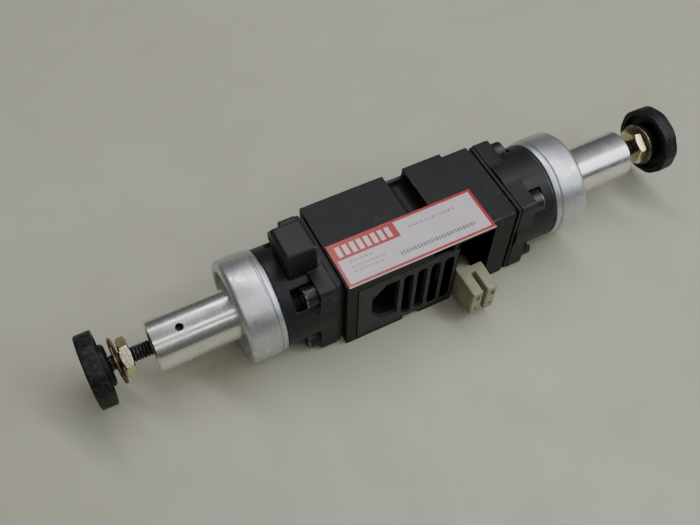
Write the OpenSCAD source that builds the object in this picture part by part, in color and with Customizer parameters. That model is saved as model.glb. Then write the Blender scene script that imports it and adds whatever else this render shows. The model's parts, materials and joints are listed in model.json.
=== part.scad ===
// Two-ended sandwich-mount pneumatic pressure regulator.
// X runs along the regulator axis, Z is up with the label on top, the front port face looks towards -Y.
// The origin is the middle of the block's underside.

/* [Block] */
// Length of the ported block along X
block_l = 76; // [74:0.5:84]
// Depth of the block between the set-back front and rear planes
block_w = 39; // [38.5:0.5:44]
// Height of the block
block_h = 41.5; // [41:0.5:46]
// How far the front and rear port pads stand proud of the set-back planes
pad_t = 2; // [1:0.1:3]
// Right-hand end of the port pads, measured from the middle
pad_end = 27.4; // [27:0.1:30]
// Height of the regulator axis above the underside
axis_z = 22; // [21.6:0.1:23]

/* [Ports] */
// Pitch of the tall port slots
slot_pitch = 6.1; // [6:0.1:6.3]
// Width of a port slot
slot_w = 4; // [3:0.1:4]
// Depth of the ports from the pad face
port_depth = 9; // [6:0.5:9.5]
// Number of narrow port slots
slot_n = 4; // [2:1:4]
// Radius of the screw channels across the top and bottom
channel_r = 4.5; // [3:0.1:4.6]
// Depth of the screw channels
channel_d = 7; // [5:0.5:7.5]

/* [Label] */
// Length of the label plate
label_l = 64.2; // [50:0.2:64.2]
// Width of the label plate
label_w = 20.8; // [15:0.2:24]
// Thickness of the label plate
label_t = 0.4; // [0.3:0.1:0.8]

/* [End caps] */
// Outer radius of the round collars
collar_r = 20.3; // [19.8:0.1:20.8]
// Distance of the left collar's outer end from the middle
left_end = 62; // [61:0.5:64]
// Distance of the right collar's outer end from the middle
right_end = 60; // [59:0.5:64]
// Height of the gauge boss top above the block top
boss_h = 13.5; // [12:0.5:16]

/* [Bonnets] */
// Outer radius of the bonnet ring
ring_r = 21.5; // [21:0.1:21.5]
// Width of the bonnet ring
ring_w = 15.5; // [14:0.5:17]
// Depth of the dished outer face of the ring
dish = 2.6; // [1.2:0.1:3]
// Outer radius of the spring tube
tube_r = 10.4; // [10:0.1:11]
// Inner radius of the spring tube
tube_bore_r = 8.4; // [8.2:0.1:8.6]
// Length from the collar to the tube's end
bonnet_l = 48.2; // [46:0.1:50]

/* [Adjusters] */
// Radius of the adjusting screw (quarter-inch)
screw_r = 3.175; // [3:0.005:3.2]
// Screw thread pitch
pitch = 1.27; // [1:0.01:1.5]
// Inner face of the left knob's disc from the middle
left_knob = 128.4; // [128:0.1:130]
// Inner face of the right knob's disc from the middle
right_knob = 122.8; // [122.6:0.1:124]
// Radius of the knobs
knob_r = 15; // [13:0.1:16]
// Thickness of a knob's disc
knob_t = 6.6; // [5:0.1:8]
// Nut size across flats
nut_af = 14; // [12:0.1:15]
// Nut thickness
nut_t = 4; // [3:0.1:4]
// Tilt of the loose left washer on its screw, degrees
washer_tilt = 3.5; // [0:0.5:4]

/* [Hidden] */
$fn = 64;
e = 0.01;
hb = block_l / 2;
hw = block_w / 2;
top_z = block_h;
plate_a = 1.6;           // cap gasket thickness
flange_a = 3.0;          // cap plate ends, flange starts
flange_t = 7.3;
screw_y = 14.5;          // cap screw positions from the axis plane
screw_zt = top_z - 5.15; // upper row
screw_zb = 5.15;         // lower row
chamber_r = 14.5;
slot_x0 = -11.2;

// ---------- helpers ----------
// A cylinder along X from a to b on the regulator axis
module xc(a, b, r, fn = 64) translate([a, 0, axis_z]) rotate([0, 90, 0]) cylinder(h = b - a, r = r, $fn = fn);
// A tapered cylinder along X
module xcone(a, b, r1, r2) translate([a, 0, axis_z]) rotate([0, 90, 0]) cylinder(h = b - a, r1 = r1, r2 = r2, $fn = 64);
// A cylinder along X at any place
module xcat(a, b, r, y, z, fn = 48) translate([a, y, z]) rotate([0, 90, 0]) cylinder(h = b - a, r = r, $fn = fn);
// A solid turned about the regulator axis from points [distance along X, radius]
module turned(pts) translate([0, 0, axis_z]) rotate([0, 90, 0]) rotate_extrude($fn = 72)
  polygon([for (p = pts) [p[1], p[0]]]);
// A box from corner to corner
module bx(p, q) translate(p) cube([q[0] - p[0], q[1] - p[1], q[2] - p[2]]);
// The end on the left is the right-hand end mirrored
module lefthand() mirror([1, 0, 0]) children();
// Rounded rectangle, exact arcs
module rrect(w, h, r) {
  square([w - 2 * r, h], center = true);
  square([w, h - 2 * r], center = true);
  for (i = [-1, 1], j = [-1, 1]) translate([i * (w / 2 - r), j * (h / 2 - r)]) circle(r = r, $fn = 32);
}
// Box with rounded edges: three rounded prisms in common
module rounded_box(s, r) intersection() {
  linear_extrude(s[2], center = true) rrect(s[0], s[1], r);
  rotate([90, 0, 0]) linear_extrude(s[1], center = true) rrect(s[0], s[2], r);
  rotate([0, 90, 0]) linear_extrude(s[0], center = true) rrect(s[2], s[1], r);
}
// Block section seen along X, with broken corners
module section(w, h, c) translate([-w / 2, 0]) polygon([[c, 0], [w - c, 0], [w, c], [w, h - c], [w - c, h], [c, h], [0, h - c], [0, c]]);
module bar(a, b, w, h, c, z0 = 0) translate([a, 0, z0]) rotate([90, 0, 90]) linear_extrude(b - a) section(w, h, c);
// A tall slot with round ends, cut along Y
module slot(x, z0, z1, w, y0, y1) {
  bx([x - w / 2, y0, z0 + w / 2], [x + w / 2, y1, z1 - w / 2]);
  for (z = [z0 + w / 2, z1 - w / 2]) translate([x, y0, z]) rotate([-90, 0, 0]) cylinder(h = y1 - y0, r = w / 2, $fn = 32);
}
// Helical wire along X: mean radius r, wire radius w, from a to b, n turns, 8 sides
module helix(a, b, r, w, n) {
  seg = 18; sides = 8; N = floor(n * seg);
  function ctr(i) = [a + w + (b - a - 2 * w) * i / N, r * cos(360 * i / seg), axis_z + r * sin(360 * i / seg)];
  pts = [for (i = [0:N]) let (t = 360 * i / seg, c = ctr(i)) for (k = [0:sides - 1])
    let (f = 360 * k / sides, rr = w * cos(f), ax = w * sin(f)) [c[0] + ax, c[1] + rr * cos(t), c[2] + rr * sin(t)]];
  faces = concat([[for (k = [0:sides - 1]) k]],
    [for (i = [0:N - 1], k = [0:sides - 1]) [i * sides + (k + 1) % sides, i * sides + k, (i + 1) * sides + k, (i + 1) * sides + (k + 1) % sides]],
    [[for (k = [sides - 1:-1:0]) N * sides + k]]);
  polyhedron(points = pts, faces = faces, convexity = 6);
}

// ---------- block ----------
// The port pattern, used for the ports and the gasket windows
module ports(y0, y1, g = 0) {
  // wide port with cut-off corner
  translate([0, y1, 0]) rotate([90, 0, 0]) linear_extrude(y1 - y0)
    polygon([[-27 - g, 16 - g], [-22 - g, 9 - g], [-15.6 + g, 9 - g], [-15.6 + g, 33 + g], [-21 - g, 33 + g], [-27 - g, 27 + g]]);
  for (i = [0:slot_n - 1]) slot(slot_x0 + i * slot_pitch, 5 - g, 33.4 + g, slot_w + 2 * g, y0, y1);
}
module body_block() color([0.13, 0.13, 0.14]) difference() {
  union() {
    bar(-hb, hb, block_w, block_h, 0.7);
    // raised port pads
    bx([-hb, -hw - pad_t, 0], [pad_end, -hw + 1, top_z]);
    bx([-hb, hw - 1, 0.4], [26.2, hw + 1.5, top_z]);
  }
  // gasket recesses
  bx([-33.5, -hw - pad_t - 1, 2.6], [10.9, -hw - pad_t + 1.3, 37]);
  bx([-33.5, hw + 1.5 - 1.3, 2.6], [10.9, hw + 3, 37]);
  // port slots
  ports(-hw - pad_t - 1, -hw - pad_t + port_depth);
  ports(hw + 1.5 - port_depth, hw + 3);
  // electrical pocket, with a thin lip above it, and the tunnel through to the rear
  bx([11.3, -hw - pad_t - 1, -1], [26.7, -hw - pad_t + 7, top_z - 1.6]);
  bx([12, -hw - pad_t + 6, 3.4], [24.2, hw + 3, 12]);
  // round-bottomed screw channels across top and bottom
  translate([3.75, -hw - 4, top_z - channel_d + channel_r]) rotate([-90, 0, 0]) cylinder(h = block_w + 9, r = channel_r, $fn = 48);
  bx([3.75 - channel_r, -hw - 4, top_z - channel_d + channel_r], [3.75 + channel_r, hw + 5, top_z + 1]);
  translate([-8, -hw - 4, 1]) rotate([-90, 0, 0]) cylinder(h = block_w + 9, r = channel_r - 0.9, $fn = 48);
  bx([-8 - channel_r + 0.9, -hw - 4, -1], [-8 + channel_r - 0.9, hw + 5, 1]);
  // regulator chambers
  for (s = [0, 1]) mirror([s, 0, 0]) {
    xc(hb - 8, hb + 1, 8);
    xc(6.5, hb - 7.9, 6.2);
    for (y = [-screw_y, screw_y], z = [screw_zb, screw_zt]) xcat(hb - 10, hb + 1, 2.6, y, z);
  }
  // passages from the ports to the chambers
  for (x = [-22, -11.2, slot_x0 + 3 * slot_pitch + 0.6]) for (s = [-1, 1])
    translate([x, s * 14, axis_z]) rotate([s * 90, 0, 0]) cylinder(h = 12, r = 1.5, $fn = 24);
}
module label_plate() color([0.85, 0.85, 0.84])
  bx([27 - label_l, -hw - pad_t, top_z], [27, -hw - pad_t + label_w, top_z + label_t]);
module gasket(y0, y1) difference() {
  bx([-33.3, y0, 2.8], [10.7, y1, 36.8]);
  ports(y0 - 1, y1 + 1, 0.15);
}
module front_gasket() color([0.24, 0.24, 0.25]) gasket(-hw - pad_t - 0.2, -hw - pad_t + 1.3);
module rear_gasket() color([0.24, 0.24, 0.25]) gasket(hw + 1.5 - 1.3, hw + 1.5 + 0.2);
module connector_housing() color([0.86, 0.83, 0.72]) difference() {
  union() {
    // body in the pocket, then two wings with a slot between
    bx([12, -hw - pad_t - 3, 4.5], [23.6, -hw - pad_t + 6.9, 20]);
    translate([14.4, -hw - pad_t - 7.5, 12.25]) rounded_box([4.8, 11.2, 15.5], 0.8);
    translate([21.2, -hw - pad_t - 7.5, 12.25]) rounded_box([4.8, 11.2, 15.5], 0.8);
  }
  // contact cavities
  for (x = [14.4, 17.8, 21.2]) translate([x, -hw - pad_t - 14, 8]) rotate([-90, 0, 0]) cylinder(h = 30, r = 0.9, $fn = 24);
  // latch recess on the right wing
  bx([23.0, -hw - pad_t - 11, 9], [25, -hw - pad_t - 7, 15]);
}
module connector_contacts() color([0.80, 0.68, 0.35]) for (x = [14.4, 17.8, 21.2])
  translate([x, x > 17 && x < 18 ? -hw - pad_t - 6 : -hw - pad_t - 11, 8]) rotate([-90, 0, 0]) cylinder(h = x > 17 && x < 18 ? 11 : 16, r = 0.8, $fn = 24);
module rear_socket() color([0.86, 0.83, 0.72]) difference() {
  bx([12.3, 12.5, 3.7], [23.9, hw + 1.3, 11.7]);
  for (x = [14.4, 17.8, 21.2]) translate([x, 12, 8]) rotate([-90, 0, 0]) cylinder(h = 12, r = 1.0, $fn = 24);
}
module pass_wires() color([0.6, 0.12, 0.1]) for (x = [14.4, 17.8, 21.2])
  translate([x, -hw - pad_t + 7.2, 8]) rotate([-90, 0, 0]) cylinder(h = hw + pad_t - 7.2 + 12.3, r = 0.8, $fn = 24);

// ---------- one end, drawn on the right, R = collar end, B = with gauge boss ----------
module end_cap(R, B) color([0.15, 0.15, 0.16]) difference() {
  union() {
    bar(hb + flange_a, hb + flange_a + flange_t, block_w, block_h, 1.2);
    xc(hb + flange_a, R, collar_r, 96);
    if (B) translate([hb + 11.6, 0, top_z + boss_h - 10]) rounded_box([13, 15.6, 20], 1.8);
  }
  // bore for the push pin and its pressure pocket
  xc(hb + flange_a - 1, R, 2.05, 32);
  xc(hb + flange_a - 1, hb + flange_a + 3, 8);
  // piston chamber
  xc(R - 10.2, R + 1, chamber_r);
  // sensing hole beside the pin
  xcat(hb + flange_a + 2, R - 9, 0.8, 0, axis_z - 5, 16);
  // cap screw holes and head pockets
  for (y = [-screw_y, screw_y], z = [screw_zb, screw_zt]) {
    xcat(hb + flange_a - 1, hb + flange_a + flange_t + 1, 2.6, y, z);
    xcat(hb + flange_a + flange_t, R - 5, 4.6, y, z);
  }
  // gauge port in the rear of the boss, with its drilled feed
  if (B) {
    translate([hb + 11.6, -1, top_z + boss_h - 7.2]) rotate([-90, 0, 0]) cylinder(h = 12, r = 4.3, $fn = 48);
    translate([hb + 11.6, 1, axis_z + 1]) cylinder(h = top_z + boss_h - 10 - axis_z, r = 1.2, $fn = 24);
  }
}
module cap_plate() color([0.20, 0.20, 0.21]) difference() {
  bar(hb + plate_a, hb + flange_a, block_w - 0.8, block_h - 0.8, 1, 0.4);
  xc(hb, hb + 4, 9);
  for (y = [-screw_y, screw_y], z = [screw_zb, screw_zt]) xcat(hb, hb + 4, 2.7, y, z);
}
module cap_gasket() color([0.05, 0.05, 0.05]) difference() {
  bar(hb, hb + plate_a, block_w - 3, block_h - 3, 1, 1.5);
  xc(hb - 1, hb + 4, 8.6);
  for (y = [-screw_y, screw_y], z = [screw_zb, screw_zt]) xcat(hb - 1, hb + 4, 2.7, y, z);
}
module cap_screws() color([0.07, 0.07, 0.08]) for (y = [-screw_y, screw_y], z = [screw_zb, screw_zt]) {
  f = hb + flange_a + flange_t;
  difference() {
    union() {
      xcat(hb - 9, f + 0.5, 2.5, y, z);
      xcat(f, f + 4.5, 4.25, y, z);
      translate([f + 4.5, y, z]) rotate([0, 90, 0]) cylinder(h = 0.5, r1 = 4.25, r2 = 3.75, $fn = 48);
    }
    translate([f + 2.4, y, z]) rotate([0, 90, 0]) cylinder(h = 4, r = 2.31, $fn = 6);
  }
}
module bonnet(R, V) color([0.78, 0.79, 0.80]) difference() {
  turned([[R - 2.2, 0], [R - 2.2, 14.4], [R, 14.4], [R, 19.6], [R + 0.6, 19.6], [R + 0.8, 21.0], [R + 2.4, 21.2], [R + 2.7, 20.7], [R + 3.1, 20.7],
    [R + 3.4, ring_r - 0.1], [R + 3.8, ring_r], [R + ring_w - 4.2, ring_r], [R + ring_w - 2.9, ring_r - 0.25], [R + ring_w - 1.7, ring_r - 0.85],
    [R + ring_w - 0.7, ring_r - 1.9], [R + ring_w - 0.15, ring_r - 3.0], [R + ring_w, ring_r - 3.8], [R + ring_w - 0.2, ring_r - 4.4], [R + ring_w - dish, ring_r - 5.0],
    [R + ring_w - dish, 12.0], [R + ring_w - dish + 0.5, 11.0], [R + ring_w - dish + 1.4, tube_r], [R + bonnet_l - 1.2, tube_r], [R + bonnet_l, tube_r - 1.0], [R + bonnet_l, 0]]);
  // spring cavity
  turned([[R - 3, 0], [R - 3, 12.4], [R + 9, 12.4], [R + 12.5, tube_bore_r], [R + bonnet_l - 5, tube_bore_r], [R + bonnet_l - 5, 0]]);
  // tapped end
  xc(R + bonnet_l - 6, R + bonnet_l + 1, 3.25, 48);
  xcone(R + bonnet_l - 0.6, R + bonnet_l + 0.01, 3.25, 3.85);
  // vent hole, turned V degrees from the top towards the front
  translate([R + 36.3, 0, axis_z]) rotate([V, 0, 0]) cylinder(h = 14, r = 1.6, $fn = 32);
}
module seat() color([0.72, 0.60, 0.28]) difference() {
  turned([[hb - 8, 0], [hb - 8, 7.9], [hb - 5.0, 7.9], [hb - 5.0, 6.6], [hb - 3.4, 6.6], [hb - 3.4, 7.9], [hb, 7.9], [hb, 0]]);
  xc(hb - 9, hb + 1, 2.6, 32);
  // undercut that leaves the raised seat lip
  difference() { xc(hb - 9, hb - 7.4, 6); xc(hb - 9, hb - 7, 3.4); }
}
module seat_oring() color([0.04, 0.04, 0.04]) translate([hb - 4.2, 0, axis_z]) rotate([0, 90, 0])
  rotate_extrude($fn = 48) translate([7.3, 0]) circle(r = 0.65, $fn = 16);
module poppet() color([0.74, 0.62, 0.30]) difference() {
  union() { xc(hb - 14, hb - 9.6, 6.13); xc(hb - 9.7, hb - 9.2, 4.7); }
  xc(hb - 15, hb - 12.4, 4.8);
  xc(hb - 10.2, hb - 9, 4.1);
}
module poppet_face() color([0.05, 0.05, 0.05]) xc(hb - 10.2, hb - 8.15, 4.05);
module poppet_spring() color([0.55, 0.56, 0.58]) helix(6.9, hb - 12.5, 3.8, 0.45, 6);
module piston(R) color([0.76, 0.66, 0.34]) difference() {
  union() {
    xc(hb - 8.05, R - 8.5, 2.0, 32);
    turned([[R - 8.6, 0], [R - 8.6, 13.9], [R - 8.1, 14.44], [R - 7.1, 14.44], [R - 7.1, 12.9], [R - 5.4, 12.9], [R - 5.4, 14.44], [R - 4.4, 14.44],
      [R - 3.9, 13.9], [R - 3.9, 5.0], [R - 1.9, 4.6], [R - 1.9, 0]]);
  }
  // relief hole
  xc(R - 4.6, R - 1, 1.2, 24);
}
module piston_seal(R) color([0.04, 0.04, 0.04]) translate([R - 6.25, 0, axis_z]) rotate([0, 90, 0])
  rotate_extrude($fn = 60) translate([13.75, 0]) circle(r = 0.7, $fn = 16);
module main_spring(R, K) color([0.50, 0.51, 0.53]) helix(R - 3.85, K - 31.45, 6.55, 1.0, 7);
module spring_button(K) color([0.66, 0.66, 0.68]) difference() {
  turned([[K - 34.9, 0], [K - 34.9, 4.4], [K - 34.2, 5.1], [K - 31.4, 5.1], [K - 31.4, 7.9], [K - 27.9, 7.9], [K - 27.9, 0]]);
  xc(K - 29.8, K - 27, 3.25, 48);
}
module adjusting_screw(K) color([0.10, 0.10, 0.10]) union() {
  xcone(K - 29.7, K - 29.2, 2.7, screw_r);
  xc(K - 29.2, K + 4.8, screw_r, 48);
}
module knob(K) color([0.07, 0.07, 0.08]) difference() {
  intersection() {
    turned([[K - 2.2, 0], [K - 2.2, 7.4], [K - 1.5, 8.2], [K, 8.5], [K, 14.3], [K + 0.6, knob_r], [K + knob_t - 0.8, knob_r],
      [K + knob_t - 0.2, knob_r - 0.45], [K + knob_t, knob_r - 1.2], [K + knob_t, 12.6], [K + knob_t - 0.7, 11.8], [K + knob_t - 0.7, 0]]);
    // ten shallow flats round the rim
    translate([K - 3, 0, axis_z]) rotate([0, 90, 0]) cylinder(h = knob_t + 5, r = (knob_r - 0.3) / cos(18), $fn = 10);
  }
  // ring-shaped recess in the inner face
  difference() { xc(K - 0.01, K + 2.4, 12.2); xc(K - 1, K + 3, 8.5); }
  // bore for the brass insert
  xc(K - 3, K + 5.0, 4.6, 48);
}
module knob_insert(K) color([0.72, 0.58, 0.25]) difference() {
  xc(K - 2.1, K + 4.9, 4.55, 48);
  xc(K - 3, K + 6, screw_r + 0.03, 48);
}
module washer(a, t, tilt) color([0.35, 0.30, 0.20]) translate([a + t / 2, 0, axis_z]) rotate([0, tilt, 0]) rotate([0, 90, 0]) difference() {
  cylinder(h = t, r = 9.3, center = true, $fn = 64);
  cylinder(h = t + 1, r = 3.7, center = true, $fn = 48);
}
module lock_nut(a) color([0.75, 0.68, 0.38]) difference() {
  intersection() {
    translate([a, 0, axis_z]) rotate([0, 90, 0]) cylinder(h = nut_t, r = nut_af / 2 / cos(30), $fn = 6);
    turned([[a, 0], [a, nut_af / 2 - 0.1], [a + 0.75, nut_af / 2 / cos(30)], [a + nut_t - 0.75, nut_af / 2 / cos(30)], [a + nut_t, nut_af / 2 - 0.1], [a + nut_t, 0]]);
  }
  xc(a - 1, a + nut_t + 1, 3.25, 48);
}

// ---------- the two ends ----------
module left_end_cap() lefthand() end_cap(left_end, true);
module left_cap_plate() lefthand() cap_plate();
module left_cap_gasket() lefthand() cap_gasket();
module left_cap_screws() lefthand() cap_screws();
module left_bonnet() lefthand() bonnet(left_end, 15);
module left_seat() lefthand() seat();
module left_seat_oring() lefthand() seat_oring();
module left_piston() lefthand() piston(left_end);
module left_piston_seal() lefthand() piston_seal(left_end);
module left_poppet() lefthand() poppet();
module left_poppet_face() lefthand() poppet_face();
module left_poppet_spring() lefthand() poppet_spring();
module left_spring() lefthand() main_spring(left_end, left_knob);
module left_spring_button() lefthand() spring_button(left_knob);
module left_adjusting_screw() lefthand() adjusting_screw(left_knob);
module left_knob() lefthand() knob(left_knob);
module left_knob_insert() lefthand() knob_insert(left_knob);
module left_washer() lefthand() washer(left_knob - 5.6, 1.1, washer_tilt);
module left_lock_nut() lefthand() lock_nut(left_knob - 10.6);
module right_end_cap() end_cap(right_end, false);
module right_cap_plate() cap_plate();
module right_cap_gasket() cap_gasket();
module right_cap_screws() cap_screws();
module right_bonnet() bonnet(right_end, -120);
module right_seat() seat();
module right_seat_oring() seat_oring();
module right_piston() piston(right_end);
module right_piston_seal() piston_seal(right_end);
module right_poppet() poppet();
module right_poppet_face() poppet_face();
module right_poppet_spring() poppet_spring();
module right_spring() main_spring(right_end, right_knob);
module right_spring_button() spring_button(right_knob);
module right_adjusting_screw() adjusting_screw(right_knob);
module right_knob() knob(right_knob);
module right_knob_insert() knob_insert(right_knob);
module right_washer() washer(right_knob - 3.6, 1.1, 0);
module right_lock_nut() lock_nut(right_knob - 7.8);

body_block();
label_plate();
front_gasket();
rear_gasket();
connector_housing();
connector_contacts();
rear_socket();
pass_wires();
left_end_cap();
left_cap_plate();
left_cap_gasket();
left_cap_screws();
left_bonnet();
left_seat();
left_seat_oring();
left_piston();
left_piston_seal();
left_poppet();
left_poppet_face();
left_poppet_spring();
left_spring();
left_spring_button();
left_adjusting_screw();
left_knob();
left_knob_insert();
left_washer();
left_lock_nut();
right_end_cap();
right_cap_plate();
right_cap_gasket();
right_cap_screws();
right_bonnet();
right_seat();
right_seat_oring();
right_piston();
right_piston_seal();
right_poppet();
right_poppet_face();
right_poppet_spring();
right_spring();
right_spring_button();
right_adjusting_screw();
right_knob();
right_knob_insert();
right_washer();
right_lock_nut();
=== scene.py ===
import bpy, bmesh, math, json, random
from mathutils import Vector, Matrix, Euler


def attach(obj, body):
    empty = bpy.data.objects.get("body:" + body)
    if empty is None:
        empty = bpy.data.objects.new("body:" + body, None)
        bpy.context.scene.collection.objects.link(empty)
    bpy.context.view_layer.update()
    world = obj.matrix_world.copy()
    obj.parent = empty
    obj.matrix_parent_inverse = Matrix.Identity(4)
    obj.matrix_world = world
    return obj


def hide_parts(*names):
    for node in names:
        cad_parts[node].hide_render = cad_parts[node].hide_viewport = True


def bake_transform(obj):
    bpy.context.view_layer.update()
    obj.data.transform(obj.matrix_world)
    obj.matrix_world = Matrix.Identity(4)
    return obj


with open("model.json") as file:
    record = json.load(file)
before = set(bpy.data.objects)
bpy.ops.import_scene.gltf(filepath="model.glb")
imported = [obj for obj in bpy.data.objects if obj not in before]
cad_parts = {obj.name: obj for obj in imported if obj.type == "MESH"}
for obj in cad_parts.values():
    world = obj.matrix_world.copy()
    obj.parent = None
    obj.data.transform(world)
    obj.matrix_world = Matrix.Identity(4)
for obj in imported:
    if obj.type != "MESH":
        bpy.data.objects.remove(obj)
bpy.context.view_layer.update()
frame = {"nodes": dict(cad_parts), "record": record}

random.seed(7)
MM = 0.001
AX = 22.0          # regulator axis height
HB, HW, TOP = 38.0, 19.5, 41.5
coll = bpy.context.scene.collection


def lin(r, g, b):
    f = lambda c: (c / 255 / 12.92) if c / 255 <= 0.04045 else ((c / 255 + 0.055) / 1.055) ** 2.4
    return (f(r), f(g), f(b), 1.0)


# ------------------------------------------------------------------ camera
def cam_axes(yaw, pitch, roll):
    fwd = Vector((math.sin(yaw) * math.cos(pitch), math.cos(yaw) * math.cos(pitch), -math.sin(pitch)))
    right = Vector((math.cos(yaw), -math.sin(yaw), 0))
    up = right.cross(fwd)
    r2 = math.cos(roll) * right + math.sin(roll) * up
    u2 = -math.sin(roll) * right + math.cos(roll) * up
    return r2, u2, fwd


cam_data = bpy.data.cameras.new("camera")
cam_data.sensor_width = 36.0
cam_data.lens = 42.81
cam_data.clip_start, cam_data.clip_end = 0.01, 20
cam = bpy.data.objects.new("camera", cam_data)
coll.objects.link(cam)
_r, _u, _f = cam_axes(0.4975, 0.9774, 0.0287)
cam.matrix_world = Matrix(((_r.x, _u.x, -_f.x, -0.11546), (_r.y, _u.y, -_f.y, -0.16507), (_r.z, _u.z, -_f.z, 0.30159), (0, 0, 0, 1)))
bpy.context.scene.camera = cam


# ------------------------------------------------------------------ materials
class Mat:
    """Small builder for a Principled material made from procedural nodes."""

    def __init__(s, name, base, rough=0.5, metal=0.0, ior=None, spec=None, coat=None, coat_rough=None, sss=None, aniso=None):
        s.m = bpy.data.materials.new(name)
        s.m.use_nodes = True
        s.t = s.m.node_tree
        s.b = next(n for n in s.t.nodes if n.type == "BSDF_PRINCIPLED")
        s.set("Base Color", base)
        s.set("Roughness", rough)
        s.set("Metallic", metal)
        if ior is not None: s.set("IOR", ior)
        if spec is not None: s.set("Specular IOR Level", spec)
        if coat is not None: s.set("Coat Weight", coat)
        if coat_rough is not None: s.set("Coat Roughness", coat_rough)
        if aniso is not None: s.set("Anisotropic", aniso)
        if sss is not None:
            s.set("Subsurface Weight", sss[0])
            s.set("Subsurface Radius", sss[1])
            s.set("Subsurface Scale", sss[2])
        s.co = s.node("ShaderNodeTexCoord").outputs["Object"]
        s._h = None
        s.m.diffuse_color = base

    def set(s, k, v):
        s.b.inputs[k].default_value = v

    def node(s, kind, **props):
        n = s.t.nodes.new(kind)
        for k, v in props.items():
            setattr(n, k, v)
        return n

    def link(s, a, b):
        s.t.links.new(a, b)

    def put(s, sock, val):
        if isinstance(val, (int, float)):
            sock.default_value = val
        elif isinstance(val, (tuple, list)):
            sock.default_value = val
        else:
            s.link(val, sock)

    def mapped(s, sc, rot=(0, 0, 0), vec=None):
        n = s.node("ShaderNodeMapping")
        s.put(n.inputs["Vector"], vec or s.co)
        n.inputs["Scale"].default_value = sc
        n.inputs["Rotation"].default_value = rot
        return n.outputs["Vector"]

    def noise(s, scale, detail=4.0, rough=0.55, vec=None, dist=0.0):
        n = s.node("ShaderNodeTexNoise")
        s.put(n.inputs["Vector"], vec or s.co)
        n.inputs["Scale"].default_value = scale
        n.inputs["Detail"].default_value = detail
        n.inputs["Roughness"].default_value = rough
        n.inputs["Distortion"].default_value = dist
        return n.outputs["Fac"]

    def voronoi(s, scale, feature="F1", vec=None, rand=1.0):
        n = s.node("ShaderNodeTexVoronoi", feature=feature)
        s.put(n.inputs["Vector"], vec or s.co)
        n.inputs["Scale"].default_value = scale
        n.inputs["Randomness"].default_value = rand
        return n.outputs["Distance"]

    def math(s, op, a, b=0.0, c=None, clamp=False):
        n = s.node("ShaderNodeMath", operation=op, use_clamp=clamp)
        s.put(n.inputs[0], a)
        s.put(n.inputs[1], b)
        if c is not None: s.put(n.inputs[2], c)
        return n.outputs[0]

    def remap(s, v, a, b, c=0.0, d=1.0):
        n = s.node("ShaderNodeMapRange")
        s.put(n.inputs["Value"], v)
        for k, x in (("From Min", a), ("From Max", b), ("To Min", c), ("To Max", d)):
            n.inputs[k].default_value = x
        return n.outputs["Result"]

    def mix(s, f, a, b, mode="MIX"):
        n = s.node("ShaderNodeMix", data_type="RGBA", blend_type=mode)
        s.put(n.inputs[0], f)
        s.put(n.inputs[6], a)
        s.put(n.inputs[7], b)
        return n.outputs[2]

    def fmix(s, f, a, b):
        n = s.node("ShaderNodeMix", data_type="FLOAT")
        s.put(n.inputs[0], f)
        s.put(n.inputs[2], a)
        s.put(n.inputs[3], b)
        return n.outputs[0]

    def attr(s, name):
        return s.node("ShaderNodeAttribute", attribute_name=name).outputs["Fac"]

    def axis_lines(s, k):
        """Fine turned lines round the regulator axis: changes along the axis and with radius only."""
        sep = s.node("ShaderNodeSeparateXYZ")
        s.link(s.co, sep.inputs[0])
        z = s.math("SUBTRACT", sep.outputs[2], AX * MM)
        r = s.math("SQRT", s.math("ADD", s.math("MULTIPLY", sep.outputs[1], sep.outputs[1]), s.math("MULTIPLY", z, z)))
        w = s.math("MULTIPLY", s.math("ADD", sep.outputs[0], r), k)
        n = s.node("ShaderNodeTexNoise", noise_dimensions="1D")
        s.link(w, n.inputs["W"])
        n.inputs["Scale"].default_value = 1.0
        n.inputs["Detail"].default_value = 3.0
        return n.outputs["Fac"]

    def bump(s, h, strength, dist=0.0002):
        n = s.node("ShaderNodeBump")
        n.inputs["Strength"].default_value = strength
        n.inputs["Distance"].default_value = dist
        s.put(n.inputs["Height"], h)
        if s._h is not None: s.link(s._h, n.inputs["Normal"])
        s._h = n.outputs["Normal"]
        s.link(s._h, s.b.inputs["Normal"])

    def color(s, v):
        s.link(v, s.b.inputs["Base Color"])

    def roughness(s, v):
        s.link(v, s.b.inputs["Roughness"])

    def metallic(s, v):
        s.link(v, s.b.inputs["Metallic"])

    # scratches: thin lines where stretched noise crosses its middle
    def scratches(s, scale, stretch, rot, width=0.006, cover=0.5):
        v = s.mapped((scale, scale * stretch, scale * 0.6), rot)
        n = s.noise(1.0, 2.0, 0.4, vec=v, dist=0.3)
        d = s.math("ABSOLUTE", s.math("SUBTRACT", n, 0.5))
        line = s.remap(d, 0.0, width, 1.0, 0.0)
        patch = s.remap(s.noise(220, 2), 1 - cover, 1 - cover + 0.06, 0.0, 1.0)
        return s.math("MULTIPLY", line, patch, clamp=True)


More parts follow.
